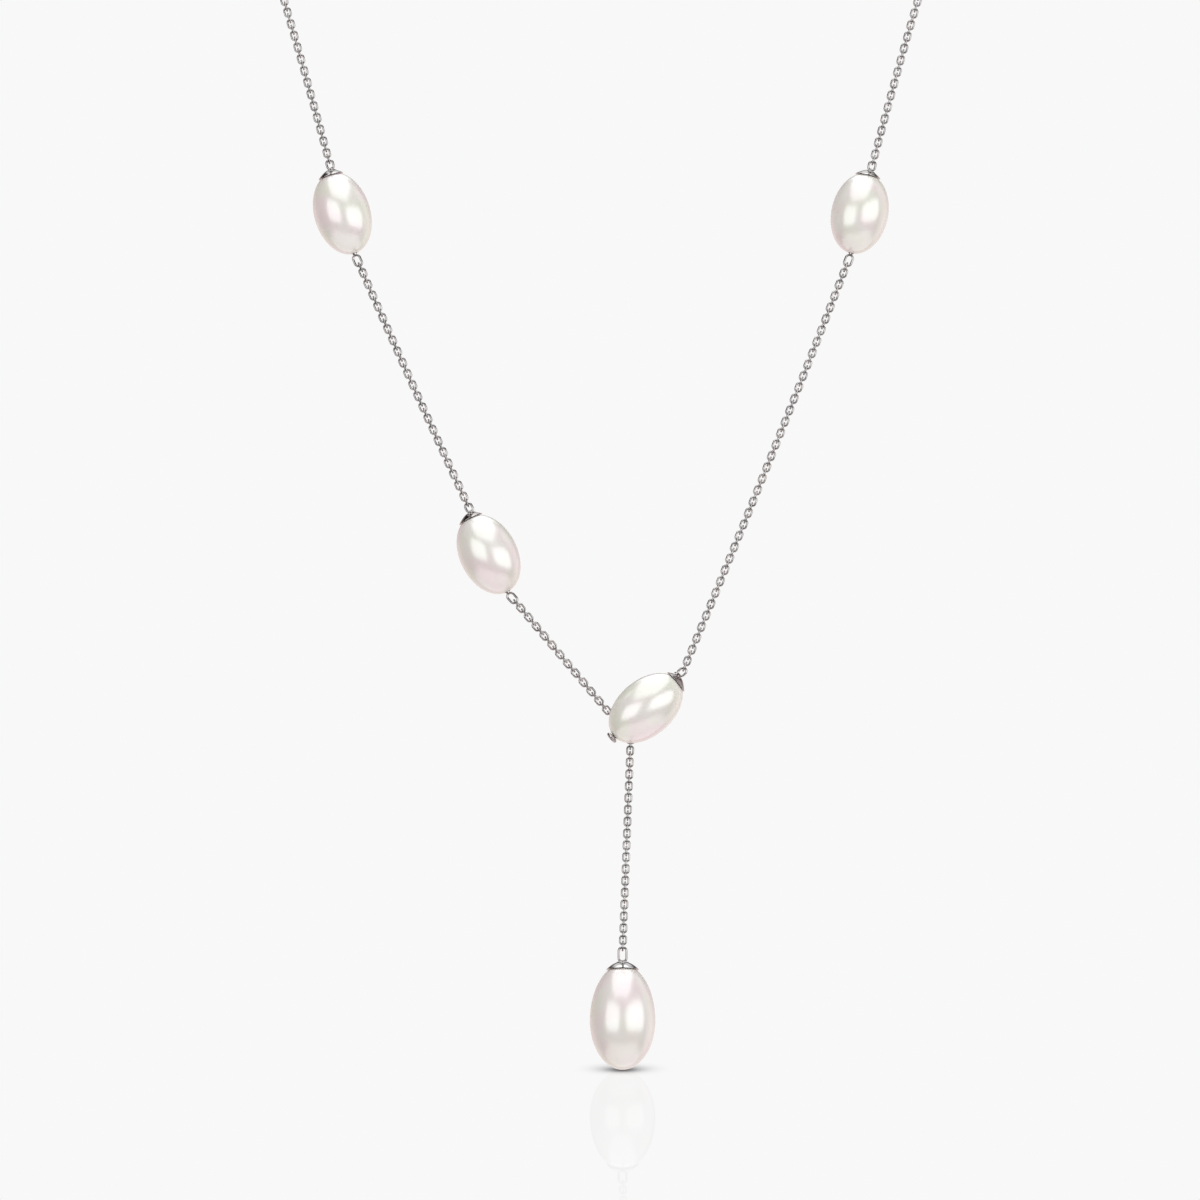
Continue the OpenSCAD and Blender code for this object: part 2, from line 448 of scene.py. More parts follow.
class Shader:
    """Writes the nodes of one material, lamp, world or group."""

    def __init__(self, tree: bpy.types.NodeTree) -> None:
        """Starts on an emptied tree."""
        self.tree = tree
        tree.nodes.clear()

    def feed(self, target: bpy.types.NodeSocket, value: Feed) -> None:
        """Gives an input its value, or links an output to it.

        Args:
            target: Input socket.
            value: Output socket, number, colour or vector.
        """
        if isinstance(value, bpy.types.NodeSocket):
            self.tree.links.new(value, target)
        else:
            target.default_value = value

    def node(self, kind: str, inputs: dict[str | int, Feed] | None = None,
             **fields: object) -> bpy.types.Node:
        """Adds a node.

        Args:
            kind: Type of the node without its ShaderNode prefix.
            inputs: Value or output socket of each input, by its name or number.
            **fields: Values of the node's own fields.

        Returns:
            The node.
        """
        prefix = "" if kind.startswith("Node") else "ShaderNode"
        made = self.tree.nodes.new(prefix + kind)
        for name, value in fields.items():
            setattr(made, name, value)
        for label, value in (inputs or {}).items():
            self.feed(made.inputs[label], value)
        return made

    def maths(self, operation: str, first: Feed, second: Feed = 0.0) -> bpy.types.NodeSocket:
        """Adds a calculation with one or two values and returns its result."""
        return self.node("Math", {0: first, 1: second}, operation=operation).outputs[0]

    def ramp(self, value: Feed, start: float, end: float,
             least: float = 0.0, most: float = 1.0) -> bpy.types.NodeSocket:
        """Adds a smooth step.

        Args:
            value: What is mapped.
            start: Value that gives the least result.
            end: Value that gives the most.
            least: Result at the start.
            most: Result at the end.

        Returns:
            The result's socket.
        """
        inputs = {"Value": value, "From Min": start, "From Max": end,
                  "To Min": least, "To Max": most}
        return self.node("MapRange", inputs, interpolation_type="SMOOTHSTEP").outputs["Result"]

    def blend(self, share: Feed, first: Feed, second: Feed,
              kind: str = "MIX") -> bpy.types.NodeSocket:
        """Mixes two colours and returns the result."""
        inputs = {0: share, 6: first, 7: second}
        return self.node("Mix", inputs, data_type="RGBA", blend_type=kind).outputs[2]

    def either(self, share: Feed, first: Feed, second: Feed) -> bpy.types.NodeSocket:
        """Mixes two shaders and returns the result."""
        return self.node("MixShader", {0: share, 1: first, 2: second}).outputs["Shader"]


class Effects:
    """Node groups that more than one finish uses, each built once."""

    @staticmethod
    def _group(name: str, inputs: dict[str, Socket],
               outputs: dict[str, Socket]) -> tuple[Shader, bpy.types.Node, bpy.types.Node]:
        """Starts a group with named sockets.

        Args:
            name: Name of the group.
            inputs: What each input carries.
            outputs: What each output carries.

        Returns:
            The shader writer, the input node and the output node.
        """
        tree = bpy.data.node_groups.new(name, "ShaderNodeTree")
        for way, sockets in (("INPUT", inputs), ("OUTPUT", outputs)):
            for label, kind in sockets.items():
                tree.interface.new_socket(name=label, in_out=way, socket_type=kind.value)
        shader = Shader(tree)
        return shader, shader.node("NodeGroupInput"), shader.node("NodeGroupOutput")

    @staticmethod
    def drift() -> bpy.types.NodeTree:
        """Lets two colours drift over a third in soft clouds.

        Returns:
            The group, with a Color output.
        """
        if "soft_drift" in bpy.data.node_groups:
            return bpy.data.node_groups["soft_drift"]
        inputs = {"Per Metre": Socket.NUMBER, "Amount": Socket.NUMBER,
                  "Base": Socket.COLOUR, "First": Socket.COLOUR, "Second": Socket.COLOUR}
        shader, given, result = Effects._group("soft_drift", inputs, {"Color": Socket.COLOUR})
        place = shader.node("TexCoord").outputs["Object"]
        last = given.outputs["Base"]
        for step, label in enumerate(("First", "Second")):
            moved = shader.node("Mapping", {"Vector": place, "Location": CLOUD_SHIFT * step})
            clouds = shader.node("TexNoise", {
                "Vector": moved.outputs["Vector"], "Scale": given.outputs["Per Metre"],
                "Detail": CLOUD_DETAIL})
            band = shader.ramp(clouds.outputs["Fac"], *CLOUD_BAND)
            share = shader.maths("MULTIPLY", band, given.outputs["Amount"])
            last = shader.blend(share, last, given.outputs[label])
        shader.feed(result.inputs["Color"], last)
        return shader.tree

    @staticmethod
    def relief() -> bpy.types.NodeTree:
        """Raises fine uneven relief, with a mask of the same pattern.

        Returns:
            The group, with Height and Mask outputs.
        """
        if "fine_relief" in bpy.data.node_groups:
            return bpy.data.node_groups["fine_relief"]
        inputs = {"Per Metre": Socket.NUMBER, "Stretch": Socket.NUMBER}
        outputs = {"Height": Socket.NUMBER, "Mask": Socket.NUMBER}
        shader, given, result = Effects._group("fine_relief", inputs, outputs)
        place = shader.node("TexCoord").outputs["Object"]
        stretch = shader.node("CombineXYZ", {"X": 1.0, "Y": 1.0, "Z": given.outputs["Stretch"]})
        drawn = shader.node("VectorMath", {0: place, 1: stretch.outputs["Vector"]}, operation="MULTIPLY")
        grain = shader.node("TexNoise", {
            "Vector": drawn.outputs["Vector"], "Scale": given.outputs["Per Metre"],
            "Detail": GRAIN_DETAIL, "Roughness": GRAIN_ROUGHNESS})
        shader.feed(result.inputs["Height"], grain.outputs["Fac"])
        shader.feed(result.inputs["Mask"], shader.ramp(grain.outputs["Fac"], *GRAIN_BAND))
        return shader.tree


class Surface:
    """A material with one Principled surface, which each finish fills in."""

    def __init__(self, name: str) -> None:
        """Starts the material.

        Args:
            name: Name of the material.
        """
        self.material = bpy.data.materials.new(name)
        self.material.use_nodes = True
        self.shader = Shader(self.material.node_tree)
        self.skin = self.shader.node("BsdfPrincipled")
        self.shader.node("OutputMaterial", {"Surface": self.skin.outputs["BSDF"]})

    def fill(self, values: dict[str, Feed]) -> None:
        """Gives inputs of the surface their values or output sockets, by name."""
        for label, value in values.items():
            self.shader.feed(self.skin.inputs[label], value)

    def tint(self, base: Colour, first: Colour, second: Colour, per_metre: float,
             amount: float) -> None:
        """Lets two colours drift over the surface's own.

        Args:
            base: The surface's own colour.
            first: Colour of the first clouds.
            second: Colour of the second clouds.
            per_metre: How many clouds there are in a metre.
            amount: How strong they are.
        """
        inputs = {"Per Metre": per_metre, "Amount": amount,
                  "Base": base, "First": first, "Second": second}
        drift = self.shader.node("Group", inputs, node_tree=Effects.drift())
        self.fill({"Base Color": drift.outputs["Color"]})

    def roughen(self, per_metre: float, stretch: float, depth: float,
                strength: float) -> bpy.types.NodeSocket:
        """Lays fine relief over the surface.

        Args:
            per_metre: How many marks there are in a metre.
            stretch: How much closer they lie along Z.
            depth: Depth of the marks in metres.
            strength: How clearly they show.

        Returns:
            The mask of the marks.
        """
        inputs = {"Per Metre": per_metre, "Stretch": stretch}
        relief = self.shader.node("Group", inputs, node_tree=Effects.relief())
        bump = self.shader.node("Bump", {
            "Height": relief.outputs["Height"], "Distance": depth, "Strength": strength})
        self.fill({"Normal": bump.outputs["Normal"]})
        return relief.outputs["Mask"]


@dataclass(frozen=True)
class Nacre:
    """The pearls' layered white surface with its faint rose and green overtones."""

    name: str = "nacre"
    body: Colour = colour(217, 214, 211)
    rose: Colour = colour(221, 203, 209)
    leaf: Colour = colour(210, 214, 200)
    clouds_per_metre: float = 260.0
    overtone: float = 0.6
    metallic: float = 0.12
    roughness: float = 0.23
    index: float = 1.9
    coat: float = 0.7
    coat_roughness: float = 0.15
    coat_index: float = 1.5
    skin_per_metre: float = 2600.0
    skin_depth: float = 0.000012
    skin_strength: float = 0.35

    def build(self) -> bpy.types.Material:
        """Builds the material.

        Returns:
            The material.
        """
        surface = Surface(self.name)
        surface.tint(self.body, self.rose, self.leaf, self.clouds_per_metre, self.overtone)
        surface.roughen(self.skin_per_metre, 1.0, self.skin_depth, self.skin_strength)
        surface.fill({
            "Metallic": self.metallic, "Roughness": self.roughness, "IOR": self.index,
            "Coat Weight": self.coat, "Coat Roughness": self.coat_roughness,
            "Coat IOR": self.coat_index})
        return surface.material


@dataclass(frozen=True)
class Silver:
    """Polished silver with faint duller patches and fine rubbing marks."""

    name: str
    bright: Colour = colour(196, 189, 186)
    warm: Colour = colour(186, 174, 168)
    dull: Colour = colour(158, 152, 152)
    patches_per_metre: float = 700.0
    patchiness: float = 0.5
    smoothest: float = 0.05
    roughest: float = 0.14
    marks_per_metre: float = 5200.0
    marks_stretch: float = 0.35
    mark_depth: float = 0.00001
    mark_strength: float = 0.3

    def build(self) -> bpy.types.Material:
        """Builds the material.

        Returns:
            The material.
        """
        surface = Surface(self.name)
        surface.tint(self.bright, self.warm, self.dull, self.patches_per_metre, self.patchiness)
        mask = surface.roughen(
            self.marks_per_metre, self.marks_stretch, self.mark_depth, self.mark_strength)
        spread = surface.shader.maths("MULTIPLY", mask, self.roughest - self.smoothest)
        roughness = surface.shader.maths("ADD", spread, self.smoothest)
        surface.fill({"Metallic": 1.0, "Roughness": roughness})
        return surface.material


class Finishes:
    """The necklace's materials, each built once."""

    def __init__(self) -> None:
        """Builds the nacre and the two silvers."""
        self.nacre = Nacre().build()
        self.cap_silver = Silver("polished_silver").build()
        tumbled = Silver("tumbled_silver", smoothest=0.07, roughest=0.18, patchiness=0.7)
        self.chain_silver = tumbled.build()


def finish_piece(obj: bpy.types.Object, material: bpy.types.Material, slot: str, body: str,
                 *nodes: str) -> None:
    """Dresses a piece, lets it ride on its body and stand for its nodes, and reports it.

    Args:
        obj: The piece, with its place in its mesh.
        material: Its finish.
        slot: The record's material slot; not used.
        body: The body that it moves with.
        *nodes: The nodes that it stands for.
    """
    obj.data.materials.clear()
    obj.data.materials.append(material)
    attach(obj, body)
    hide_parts(*nodes)
    log.info("%s: %d faces, rides on %s", obj.name, len(obj.data.polygons), body)


@dataclass
class Pearl:
    """An oval pearl with its drill hole, whose lower half may be shorter than its upper one."""

    station: Station
    through: bool = True
    bore: float = 0.8
    blind_depth: float = 8.0
    lower_share: float = 1.0
    segments: int = 96
    rings: int = 64
    crease: float = 50.0
    body: str = "necklace"

    def _round(self) -> bpy.types.Object:
        """Draws a ball out into the oval and sets the length of its lower half.

        Returns:
            The oval in object mode.
        """
        pearl = Bench.add(
            bpy.ops.mesh.primitive_uv_sphere_add, segments=self.segments, ring_count=self.rings,
            radius=self.station.width / 2)
        Bench.edit(pearl)
        Bench.select_all()
        Bench.resize(1, self.station.length / self.station.width)
        Bench.pick(pearl, Kind.VERT, lambda place: place.z < 0)
        Bench.resize(1, self.lower_share)
        Bench.leave()
        return pearl

    def _drill(self, pearl: bpy.types.Object) -> None:
        """Opens the drill hole, right through or as a blind hole from the top.

        The faces at the tip go, and the edge that they leave is drawn to the bore's width.

        Args:
            pearl: The oval in object mode.
        """
        half = self.station.length / 2
        step = math.pi / self.rings
        tip_at = half * math.cos(step * 1.5)
        rim_at = half * math.cos(step)
        share = self.bore / self.station.width / math.sin(step)
        Bench.edit(pearl)
        for tip in (1, -1) if self.through else (1,):
            Bench.pick(pearl, Kind.FACE, lambda place, tip=tip: place.z * tip > tip_at)
            bpy.ops.mesh.delete(type="FACE")
            Bench.pick(pearl, Kind.VERT, lambda place, tip=tip: place.z * tip > (rim_at + tip_at) / 2)
            Bench.resize(share, 1, (0, 0, tip * rim_at))
        if self.through:
            # The ring of corners next to each rim lies a little nearer the axis and is picked too
            hole = self.bore / 2 + MERGE
            Bench.pick(pearl, Kind.VERT, lambda place: math.hypot(place.x, place.y) < hole)
            bpy.ops.mesh.bridge_edge_loops()
        else:
            Bench.extrude(0, 0, -self.blind_depth)
            bpy.ops.mesh.edge_face_add()
        Bench.leave()

    def build(self, finishes: Finishes) -> bpy.types.Object:
        """Makes and dresses the pearl.

        Args:
            finishes: The necklace's materials.

        Returns:
            The finished piece.
        """
        pearl = self._round()
        self._drill(pearl)
        Bench.outward(pearl)
        Bench.smooth(pearl, self.crease)
        Bench.settle(pearl, self.station.place())
        pearl.name = pearl.data.name = "nacre_" + self.station.node
        finish_piece(pearl, finishes.nacre, "pearl", self.body, "pearl_" + self.station.node)
        return pearl


@dataclass
class Cap:
    """A domed cap with its upper eye, the pin through the pearl and the lower eye.

    The target is the point that the chain below the pearl leads to. The upper eye stands in a
    small hill of solder. A hill with a thin foot is lower, with a straight neck on top.
    """

    station: Station
    target: Vector
    rim: float = 3.3
    crown: float = 0.44
    wall: float = 0.13
    pearl_room: float = 1.1
    fullness: float = 1.6
    lip: float = 0.05
    levels: int = 9
    rim_round: float = 0.25
    rim_angle: float = 50.0
    nub: float = 0.62
    nub_sides: int = 28
    hill: tuple[float, ...] = (0.78, 0.6, 0.47, 0.38, 0.33)
    hill_step: float = 0.055
    thin_foot: bool = True
    pin_wire: float = 0.5
    pin_rise: float = 0.5
    eye_width: float = EYE_WIDTH
    eye_length: float = EYE_LENGTH
    crease: float = 40.0
    body: str = "necklace"

    def crown_at(self) -> float:
        """Returns the height of the cap's top above the pearl's middle."""
        return self.station.length / 2 + FIT + self.crown

    def rim_at(self) -> float:
        """Finds the height of the cap's rim, from the round inside that clears the pearl.

        Returns:
            The height above the pearl's middle.
        """
        inner = self.pearl_room * self.station.width ** 2 / (2 * self.station.length)
        centre = self.station.length / 2 + FIT - inner
        return centre + math.sqrt(inner ** 2 - (self.rim / 2 - self.wall) ** 2)

    def upper_hook(self) -> Vector:
        """Finds the middle of the round end of the upper eye.

        Returns:
            The point on the front plane.
        """
        station = self.station
        reach = self.crown_at() - SINK + self.eye_length - self.eye_width / 2
        return station.middle() + station.right() * station.aside + station.axis() * reach

    def _dome(self) -> bpy.types.Object:
        """Raises the dome from its rim, level by level, and gives it its wall.

        Returns:
            The dome on the pearl's own axes.
        """
        low = self.rim_at()
        rise = self.crown_at() - low
        dome = Bench.add(
            bpy.ops.mesh.primitive_circle_add, vertices=RIM_SIDES, radius=self.rim / 2,
            fill_type="NOTHING", location=(0, 0, low))
        Bench.edit(dome)
        Bench.select_all()
        Bench.extrude(0, 0, self.lip)
        height = low + self.lip
        share = 1.0
        for level in range(1, self.levels + 1):
            next_share = 1 - level / (self.levels + 1)
            next_height = low + self.lip + (rise - self.lip) * (1 - next_share ** self.fullness)
            Bench.extrude(0, 0, next_height - height)
            Bench.resize(next_share / share, 1, (0, 0, next_height))
            share = next_share
            height = next_height
        Bench.extrude(0, 0, low + rise - height)
        bpy.ops.mesh.merge(type="CENTER")
        Bench.select_all()
        bpy.ops.mesh.normals_make_consistent(inside=False)
        Bench.leave()
        Bench.modify(dome, "SOLIDIFY", thickness=self.wall, offset=-1)
        Bench.modify(
            dome, "BEVEL", width=self.wall * self.rim_round, segments=EDGE_STEPS,
            limit_method="ANGLE", angle_limit=math.radians(self.rim_angle))
        return dome

    def _solder(self) -> bpy.types.Object:
        """Raises a small hollow-sided hill of solder, step by step, from a flat disc.

        Its top alone is drawn up, or its top and sides, which leave a thin foot.

        Returns:
            The hill on the pearl's own axes.
        """
        aside = self.station.aside
        middle = self.crown_at() - SINK
        hill = Bench.add(
            bpy.ops.mesh.primitive_cylinder_add, vertices=self.nub_sides, radius=self.nub,
            depth=SINK, location=(aside, 0, middle))
        Bench.edit(hill)
        lowest = middle - SINK / 4 if self.thin_foot else middle + SINK / 4
        Bench.pick(hill, Kind.FACE, lambda place: place.z > lowest)
        height = middle + SINK / 2
        share = 1.0
        for next_share in self.hill:
            height += self.hill_step
            Bench.extrude(0, 0, self.hill_step)
            Bench.resize(next_share / share, 1, (aside, 0, height))
            share = next_share
        Bench.leave()
        return hill

    def _upper_eye(self) -> bpy.types.Object:
        """Bends the eye that stands on the crown.

        Returns:
            The eye on the pearl's own axes.
        """
        eye = Wire.ring(self.eye_width, self.eye_length, EYE_WIRE, EYE_TURNS, WIRE_SIDES)
        height = self.crown_at() - SINK + self.eye_length / 2
        Bench.settle(eye, Matrix.Translation((self.station.aside, 0, height)))
        return eye

    def _pin(self) -> bpy.types.Object:
        """Makes the pin from the cap to the lower eye."""
        top = self.station.length / 2 + FIT + self.crown * self.pin_rise
        return Wire.pin(self.pin_wire, -self.station.low_edge() - PIN_BITE, top)

    def _to_pearl(self) -> Matrix:
        """Returns the matrix from the front plane to the pearl's own axes."""
        return self.station.place().inverted() @ front_plane()

    def _lower_end(self) -> list[bpy.types.Object]:
        """Bends the eye under the pearl, which leans to its chain.

        Returns:
            The eye on the pearl's own axes.
        """
        eye = Wire.ring(LOW_EYE_WIDTH, LOW_EYE_LENGTH, EYE_WIRE, EYE_TURNS, WIRE_SIDES)
        way = self.station.low_way(self.target)
        turn = Matrix.Rotation(math.atan2(way.x, way.z), 4, "Y")
        middle = self.station.low_start() + way * (LOW_EYE_LENGTH - EYE_WIRE) / 2
        Bench.settle(eye, self._to_pearl() @ Matrix.Translation(middle) @ turn)
        return [eye]

    def build(self, finishes: Finishes) -> bpy.types.Object:
        """Makes and dresses the cap with all that is soldered to it.

        Args:
            finishes: The necklace's materials.

        Returns:
            The finished piece.
        """
        parts = [self._dome(), self._solder(), self._upper_eye(), self._pin(), *self._lower_end()]
        cap = Bench.join("silver_cap_" + self.station.node, parts)
        Bench.smooth(cap, self.crease)
        Bench.settle(cap, self.station.place())
        finish_piece(cap, finishes.cap_silver, "silver", self.body, "cap_" + self.station.node)
        return cap


@dataclass
class CentreCap(Cap):
    """The centre pearl's cap, whose pin ends in a collar and carries the joining ring."""

    thin_foot: bool = False
    collar: float = 1.6
    collar_wire: float = 0.45
    tip_past: float = 0.25
    arm_wire: float = 0.38
    bend: float = 0.6
    bend_steps: int = 8
    ring: float = 1.65

    def collar_reach(self) -> float:
        """Returns how far the collar lies below the pearl's middle."""
        return self.station.length / 2 + FIT + self.collar_wire / 2

    def _arm(self) -> bpy.types.Object:
        """Bends the arm that turns level back from the collar and runs to the joining ring.

        Returns:
            The arm on the pearl's own axes.
        """
        to_frame = Matrix.Scale(1 / MM, 4) @ front_plane()
        start = to_frame @ (self.station.middle() - self.station.axis() * self.collar_reach())
        joint = to_frame @ self.target
        onward = joint - Vector((start.x, joint.y, start.z))
        straight = joint.y - start.y - self.bend
        run = onward.length - self.bend - (self.ring - EYE_WIRE) / 2
        arm = Bench.add(
            bpy.ops.mesh.primitive_circle_add, vertices=WIRE_SIDES, radius=self.arm_wire / 2,
            fill_type="NGON", rotation=(math.pi / 2, 0, 0))
        Bench.edit(arm)
        Bench.select_all()
        Bench.extrude(0, straight, 0)
        bpy.ops.mesh.spin(
            steps=self.bend_steps, angle=math.pi / 2, center=(0, straight, self.bend), axis=(1, 0, 0))
        Bench.extrude(0, 0, run)
        Bench.leave()
        heading = Matrix.Rotation(math.atan2(onward.x, onward.z), 4, "Y")
        to_pearl = self.station.place().inverted() @ Matrix.Scale(MM, 4)
        Bench.settle(arm, to_pearl @ Matrix.Translation(start) @ heading)
        Bench.outward(arm)
        return arm

    def _lower_end(self) -> list[bpy.types.Object]:
        """Makes the collar, the pin's tip, the joining ring and the arm.

        Returns:
            The parts on the pearl's own axes.
        """
        collar = Wire.ring(self.collar, self.collar, self.collar_wire, RING_TURNS, THICK_SIDES)
        low = -self.collar_reach()
        Bench.settle(collar, Matrix.Translation((0, 0, low)) @ Matrix.Rotation(math.pi / 2, 4, "X"))
        tip = Wire.pin(
            self.pin_wire, low - self.collar_wire * self.tip_past, low + self.collar_wire)
        joining = Wire.ring(self.ring, self.ring, EYE_WIRE, RING_TURNS, WIRE_SIDES)
        Bench.settle(joining, self._to_pearl() @ Matrix.Translation(self.target))
        return [collar, tip, joining, self._arm()]


@dataclass
class DropCap(Cap):
    """The drop pearl's larger cap, with a tall eye and a pin glued into a blind hole."""

    thin_foot: bool = False
    pin_rise: float = 1 / 3
    pin_depth: float = 7.4

    def _pin(self) -> bpy.types.Object:
        """Makes the pin that is glued into the drop.

        Returns:
            The pin on the pearl's own axes.
        """
        half = self.station.length / 2
        top = half + FIT + self.crown * self.pin_rise
        return Wire.pin(self.pin_wire, half - self.pin_depth, top)

    def _lower_end(self) -> list[bpy.types.Object]:
        """Leaves the drop's foot bare."""
        return []


@dataclass(frozen=True)
class LinkSize:
    """Outer sizes of a chain's links, and the sections and sides of their wire."""

    width: float = 1.04
    length: float = 1.43
    wire: float = 0.26
    turns: int = 12
    sides: int = 6


@dataclass
class Chain:
    """Interlocked links, modelled once and copied along a line.

    The part ends the names of the piece and of the node that it stands for.
    """

    part: str
    size: LinkSize = LinkSize()
    crease: float = 80.0
    body: str = "necklace"

    def _copies(self, places: list[Matrix]) -> list[bpy.types.Object]:
        """Copies the link to each place, each copy with its own mesh.

        Args:
            places: Matrix of each link.

        Returns:
            The links.
        """
        size = self.size
        pattern = Wire.ring(size.width, size.length, size.wire, size.turns, size.sides)
        made = []
        for place in places:
            link = pattern.copy()
            link.data = pattern.data.copy()
            link.data.transform(place)
            bpy.context.collection.objects.link(link)
            made.append(link)
        bpy.data.objects.remove(pattern)
        return made

    def runs(self, span: float) -> list[float]:
        """Spaces an odd number of links so that they hold each other without touching.

        Args:
            span: Length between the middles of the wires that the chain hangs in.

        Returns:
            How far along each link's middle lies.
        """
        full = span + EYE_WIRE - self.size.wire
        line = self.size.length - self.size.wire
        room = self.size.wire + LEAST_GAP
        least = math.ceil((full + room) / (line - room))
        count = least + (least + 1) % 2
        hold = (count * line - full) / (count + 1)
        start = (self.size.wire - EYE_WIRE) / 2 - hold + line / 2
        return [start + index * (line - hold) for index in range(count)]

    @staticmethod
    def roll(index: int) -> Matrix:
        """Returns the quarter turn of every second link, starting with the first."""
        return Matrix.Rotation(math.pi / 2 * ((index + 1) % 2), 4, "Z")

    def assemble(self, places: list[Matrix], finishes: Finishes) -> bpy.types.Object:
        """Joins the links into one piece and dresses it.

        Args:
            places: Matrix of each link.
            finishes: The necklace's materials.

        Returns:
            The finished piece.
        """
        chain = Bench.join("links_" + self.part, self._copies(places))
        Bench.smooth(chain, self.crease)
        log.info("%s: %d links", chain.name, len(places))
        finish_piece(chain, finishes.chain_silver, "silver", self.body, "chain_" + self.part)
        return chain


@dataclass
class StraightChain(Chain):
    """A chain between two wires of the front, drawn nearly straight."""

    sag: float = 0.0

    def places(self, start: Vector, end: Vector) -> list[Matrix]:
        """Works out where each link lies, the first and the last edge on.

        Args:
            start: Middle of the wire that the first link holds, on the front plane.
            end: Middle of the wire that the last link holds.

        Returns:
            The matrix of each link, into the frame.
        """
        length = (end - start).length
        full = length + EYE_WIRE - self.size.wire
        heading = (end - start).normalized()
        side = heading.cross(Vector((0, 1, 0)))
        swing = Matrix.Rotation(math.atan2(heading.x, heading.z), 4, "Y")
        turn = swing @ Matrix.Rotation(-math.asin(heading.y), 4, "X")
        made = []
        for index, run in enumerate(self.runs(length)):
            bow = 4 * self.sag * run * (full - run) / full ** 2
            middle = start + heading * run + side * bow
            made.append(front_plane() @ Matrix.Translation(middle) @ turn @ self.roll(index))
        return made

    def build(self, start: Vector, end: Vector, finishes: Finishes) -> bpy.types.Object:
        """Makes the chain between the middles of two wires and returns it."""
        return self.assemble(self.places(start, end), finishes)


@dataclass
class NeckRoute:
    """The way of the chain from an upper pearl round the neck to the clasp, in millimetres."""

    side: Side
    points: tuple[tuple[float, float, float], ...] = (
        (38.9, -63.4, -63), (42.9, -60.8, -49), (46.5, -55.5, -35.5), (49, -46, -24),
        (48.5, -34, -15.5), (44, -21.5, -9.5), (35, -10.5, -5), (21.5, -2.5, -1.5))
    clasp_hook: tuple[float, float, float] = (3.775, 0.5, 0)
    cuts: int = 40

    def _corners(self, eye: Vector) -> list[Vector]:
        """Lists the points that the curve passes through.

        Args:
            eye: Middle of the round end of the upper eye, in the frame's millimetres.

        Returns:
            The points, from the wire of the eye to that of the clasp.
        """
        hand = self.side.value
        turned = [Vector((hand * x, y, z)) for x, y, z in (*self.points, self.clasp_hook)]
        return [Wire.toward(eye, EYE_WIDTH, turned[0]), *turned]

    @staticmethod
    def _between(corners: list[Vector], index: int, share: float) -> Vector:
        """Finds a point on the smooth curve through the corners.

        Args:
            corners: The points of the route.
            index: The stretch that starts at this corner.
            share: How far along the stretch, from 0 to 1.

        Returns:
            The point.
        """
        before = corners[max(index - 1, 0)]
        here = corners[index]
        there = corners[index + 1]
        after = corners[min(index + 2, len(corners) - 1)]
        straight = 2 * here + (there - before) * share
        bend = (2 * before - 5 * here + 4 * there - after) * share ** 2
        twist = (3 * here - before - 3 * there + after) * share ** 3
        return (straight + bend + twist) / 2

    def line(self, eye: Vector) -> list[Vector]:
        """Cuts the curve into short steps.

        Args:
            eye: Middle of the round end of the upper eye, in the frame's millimetres.

        Returns:
            The points of the curve.
        """
        corners = self._corners(eye)
        cut = [self._between(corners, index, step / self.cuts)
               for index in range(len(corners) - 1) for step in range(self.cuts)]
        return [*cut, corners[-1]]


@dataclass
class NeckChain(Chain):
    """The chain that goes round the neck, link by link along its route."""

    @staticmethod
    def _walk(line: list[Vector], runs: list[float]) -> list[tuple[Vector, Vector]]:
        """Finds the points and headings at given lengths along a line.

        Args:
            line: The points of the line.
            runs: Lengths from its start, in rising order.

        Returns:
            Point and heading at each length.
        """
        found = []
        passed = 0.0
        index = 0
        for run in runs:
            step = (line[index + 1] - line[index]).length
            while passed + step < run and index < len(line) - 2:
                passed += step
                index += 1
                step = (line[index + 1] - line[index]).length
            heading = (line[index + 1] - line[index]).normalized()
            found.append((line[index] + heading * (run - passed), heading))
        return found

    def places(self, line: list[Vector]) -> list[Matrix]:
        """Works out where each link lies, each turned a quarter against the one before.

        Args:
            line: The chain's route, from wire to wire.

        Returns:
            The matrix of each link, into the frame.
        """
        length = sum((b - a).length for a, b in zip(line, line[1:]))
        across = Vector((1, 0, 0))
        made = []
        for index, (middle, heading) in enumerate(self._walk(line, self.runs(length))):
            across = (across - heading * across.dot(heading)).normalized()
            axes = Matrix((across, heading.cross(across), heading)).transposed().to_4x4()
            made.append(Matrix.Scale(MM, 4) @ Matrix.Translation(middle) @ axes @ self.roll(index))
        return made

    def build(self, line: list[Vector], finishes: Finishes) -> bpy.types.Object:
        """Makes the chain along its route and returns it."""
        return self.assemble(self.places(line), finishes)


